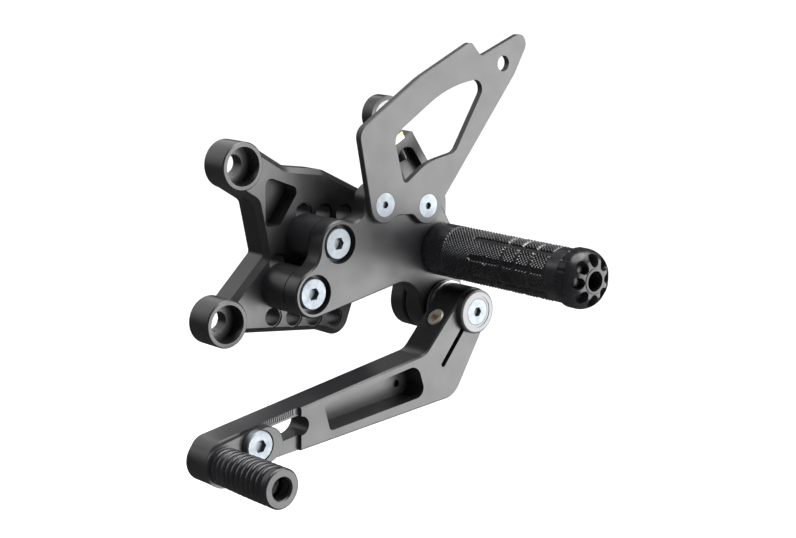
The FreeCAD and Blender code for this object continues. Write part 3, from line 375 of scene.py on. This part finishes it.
def footPegCap(look):
    # radius and out follow powers of cosine and sine over a quarter turn, and the surface
    # is pressed in where |radius from the window's middle / half width| ^ power
    # + |angle from the window's middle / half angle| ^ power is under one
    spigot, radius, hole, edge = look["spigot"], look["radius"], look["hole"], look["edge"]
    top = spigot + look["length"]
    shoulder = spigot + look["length"] * look["shoulderShare"]
    hub = hole + look["hubWall"]
    head = spreadAlong([(hole, 0), (look["fitted"], 0), (look["fitted"], spigot),
                        (radius - edge, spigot), (radius, spigot + edge), (radius, shoulder)],
                       [2, 2, 3, 2, 10, 1])[:-1]
    rise = np.linspace(0, 1, look["domeRows"]) * np.pi / 2
    acrossPower, outPower = look["domePowers"]
    domeRadius = hub + (radius - hub) * np.cos(rise) ** acrossPower
    domeOut = shoulder + (top - look["domeStop"] - shoulder) * np.sin(rise) ** outPower
    tail = np.array([(hub, top - look["hubEdge"][1]), (hub - look["hubEdge"][0], top),
                     (hole + look["holeEdge"][0], top), (hole, top - look["holeEdge"][1])])
    bore = np.linspace((hole, top - look["boreInset"][0]), (hole, look["boreInset"][1]),
                       look["boreRows"])
    profile = np.concatenate([head, np.stack([domeRadius, domeOut], -1), tail, bore])

    turn = placesRound(look["places"])
    radii, out = profile[:, :1], profile[:, 1:]
    share = 2 * np.pi / look["windows"]
    aside = (turn + share / 2) % share - share / 2
    oval = (np.abs((radii - look["windowMiddle"]) / look["windowHalf"]) ** look["windowPower"]
            + np.abs(aside / look["windowAngle"]) ** look["windowPower"])
    onDome = np.zeros((len(profile), 1))
    onDome[len(head):len(head) + look["domeRows"]] = 1.0
    pressed = onDome * (1 - softStep(oval, 1.0, look["windowFade"])) * look["windowDepth"]

    rowsBelow, rowsAbove = look["scallopRows"]
    onSide = np.zeros((len(profile), 1))
    onSide[len(head) - rowsBelow:len(head) + rowsAbove] = 1.0
    crest = look["scallopCrest"]
    waves = np.clip(np.cos(turn * look["scallops"]) - crest, 0, 1) / (1 - crest)
    radii = radii - onSide * waves * look["scallopDepth"] - pressed * look["windowLean"]
    points = roundAxis(radii, out - pressed, turn, pegCentre, look["start"])
    return closedRings("footPegCap", points, finishes["blackDome"], look["sharpAngle"])


gripPiece = footPegGrip(pegGrip)
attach(gripPiece, "frame_set")
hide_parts("peg_barrel")
capPiece = footPegCap(pegEndCap)
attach(capPiece, "frame_set")
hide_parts("peg_end_cap")
print("foot peg made")


# ---- toe peg ----

toeGrip = {
    "start": 55.4, "length": 38.5, "root": 7.9, "radius": 8.4, "edge": 0.7, "rootEdge": 0.6,
    "bore": 3.15, "mouth": 4.5, "mouthEdge": 0.6, "mouthDepth": 12.0, "swellRate": 1.35,
    "rings": 10, "ringDepth": 0.75, "ringShare": 0.8, "ringPower": 0.45, "firstRing": 1.2,
    "lastRing": 34.2, "endGroove": 0.55, "endRing": 2.9, "endFade": 0.4,
    "places": 128, "rowStep": 0.16, "sharpAngle": 45.0,
}


def toePegGrip(look):
    # radius swells from the root like a quarter sine; each ring is a rounded hump between
    # narrow grooves, and a plain ring with a groove behind it closes the outer end
    length, radius, edge, root = look["length"], look["radius"], look["edge"], look["root"]
    bore, mouth, mouthEnd = look["bore"], look["mouth"], look["length"] - look["mouthDepth"]
    rows = int((length - 2 * edge) / look["rowStep"])
    corners = [(bore, 0), (root - look["rootEdge"], 0), (root, edge),
               (radius, length - edge), (radius - edge, length),
               (mouth + look["mouthEdge"], length), (mouth, length - look["mouthEdge"]),
               (mouth, mouthEnd), (bore, mouthEnd)]
    steps = [3, 2, rows, 2, 3, 2, 4, 2, 4]
    outside = slice(sum(steps[:2]), sum(steps[:3]))
    profile = spreadAlong(corners, steps)
    out = profile[:, 1]

    rise = np.clip(out / length * look["swellRate"], 0, 1) * np.pi / 2
    swell = root + (radius - root) * np.sin(rise)
    ringStep = (look["lastRing"] - look["firstRing"]) / look["rings"]
    phase = ((out - look["firstRing"]) / ringStep) % 1
    hump = np.sin(np.pi * np.clip(phase / look["ringShare"], 0, 1))
    hump = np.clip(hump, 0, 1) ** look["ringPower"]
    ringed = (out > look["firstRing"]) & (out < look["lastRing"])
    cut = np.where(ringed, look["ringDepth"] * (1 - hump), 0.0)
    beforeEnd = 1 - softStep(out, length - look["endRing"], look["endFade"])
    cut = np.where(out > look["lastRing"], look["endGroove"] * beforeEnd, cut)

    radii = profile[:, 0].copy()
    radii[outside] = (swell - cut)[outside]
    turn = placesRound(look["places"])
    points = roundAxis(radii[:, None], out[:, None], turn, toeCentre, look["start"])
    return closedRings("toePegGrip", points, finishes["blackRibs"], look["sharpAngle"])


toePiece = toePegGrip(toeGrip)
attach(toePiece, "toe_set")
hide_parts("toe_barrel")
print("toe peg made")


# ---- floor, light and camera ----

paper = {
    "drop": 420.0, "size": 40000.0, "light": 0.90, "darkShare": 0.985, "cloudScale": 3.0,
    "cloudDetail": 2.0, "roughness": 0.9, "specular": 0.1,
}


def palePaper(look):
    material, tree, shader = startMaterial("palePaper")
    cloud = objectNoise(tree, look["cloudScale"], look["cloudDetail"])
    light = (look["light"],) * 3
    dark = (look["light"] * look["darkShare"],) * 3
    tree.links.new(tint(tree, cloud, dark, light), shader.inputs["Base Color"])
    shader.inputs["Roughness"].default_value = look["roughness"]
    shader.inputs["Specular IOR Level"].default_value = look["specular"]
    return material


def addFloor(look):
    half = look["size"] * mm / 2
    height = cadLow[2] - look["drop"] * mm
    mesh = bpy.data.meshes.new("floor")
    mesh.from_pydata([(-half, -half, height), (half, -half, height), (half, half, height),
                      (-half, half, height)], [], [(0, 1, 2, 3)])
    mesh.materials.append(palePaper(look))
    floor = addObject("floor", mesh)
    floor.visible_glossy = False  # black faces would mirror the pale floor and turn grey


def addWorld(tone):
    world = bpy.data.worlds.new("studio")
    world.use_nodes = True
    background = world.node_tree.nodes["Background"]
    background.inputs["Color"].default_value = (tone, tone, tone, 1.0)
    background.inputs["Strength"].default_value = 1.0
    bpy.context.scene.world = world


studio = {"worldTone": 0.07, "skyPower": 3.7, "skyAngle": 50.0}

# each box stands off from the part's middle: distance and size in metres, power in watts
softboxes = {
    "keyBox": {"way": (0.57, -0.80, -0.06), "distance": 1.15, "size": (1.75, 1.1),
               "power": 42.0},
    "backBox": {"way": (-0.05, 0.93, 0.36), "distance": 1.3, "size": (1.6, 1.0), "power": 7.0},
    "topBox": {"way": (0.45, -0.25, 0.85), "distance": 1.5, "size": (1.2, 1.2), "power": 24.0},
}


def addSky(power, angle):
    # a broad sun straight overhead, so that the whole floor is equally bright
    light = bpy.data.lights.new("sky", "SUN")
    light.energy = power
    light.angle = math.radians(angle)
    addObject("sky", light)


def addSoftbox(name, look):
    light = bpy.data.lights.new(name, "AREA")
    light.shape = "RECTANGLE"
    light.size, light.size_y = look["size"]
    light.energy = look["power"]
    box = addObject(name, light)
    direction = Vector(look["way"]).normalized()
    box.location = (cadLow + cadHigh) / 2 + direction * look["distance"]
    box.rotation_mode = "QUATERNION"
    box.rotation_quaternion = direction.to_track_quat("Z", "Y")


# clip is in metres
viewpoint = {
    "place": (-440.1, -613.2, 110.35), "azimuth": -41.32, "elevation": 11.78, "lens": 80.0,
    "sensor": 36.0, "clip": (0.01, 100.0),
}


def addCamera(look):
    data = bpy.data.cameras.new("camera")
    data.lens = look["lens"]
    data.sensor_width = look["sensor"]
    data.clip_start, data.clip_end = look["clip"]
    camera = addObject("camera", data)
    azimuth, elevation = math.radians(look["azimuth"]), math.radians(look["elevation"])
    back = Vector((math.sin(azimuth) * math.cos(elevation),
                   -math.cos(azimuth) * math.cos(elevation), math.sin(elevation)))
    camera.location = Vector(look["place"]) * mm
    camera.rotation_mode = "QUATERNION"
    camera.rotation_quaternion = (-back).to_track_quat("-Z", "Y")
    bpy.context.scene.camera = camera


addFloor(paper)
addWorld(studio["worldTone"])
addSky(studio["skyPower"], studio["skyAngle"])
for name, look in softboxes.items():
    addSoftbox(name, look)
addCamera(viewpoint)
bpy.context.scene.view_settings.view_transform = "Standard"
print("studio set")
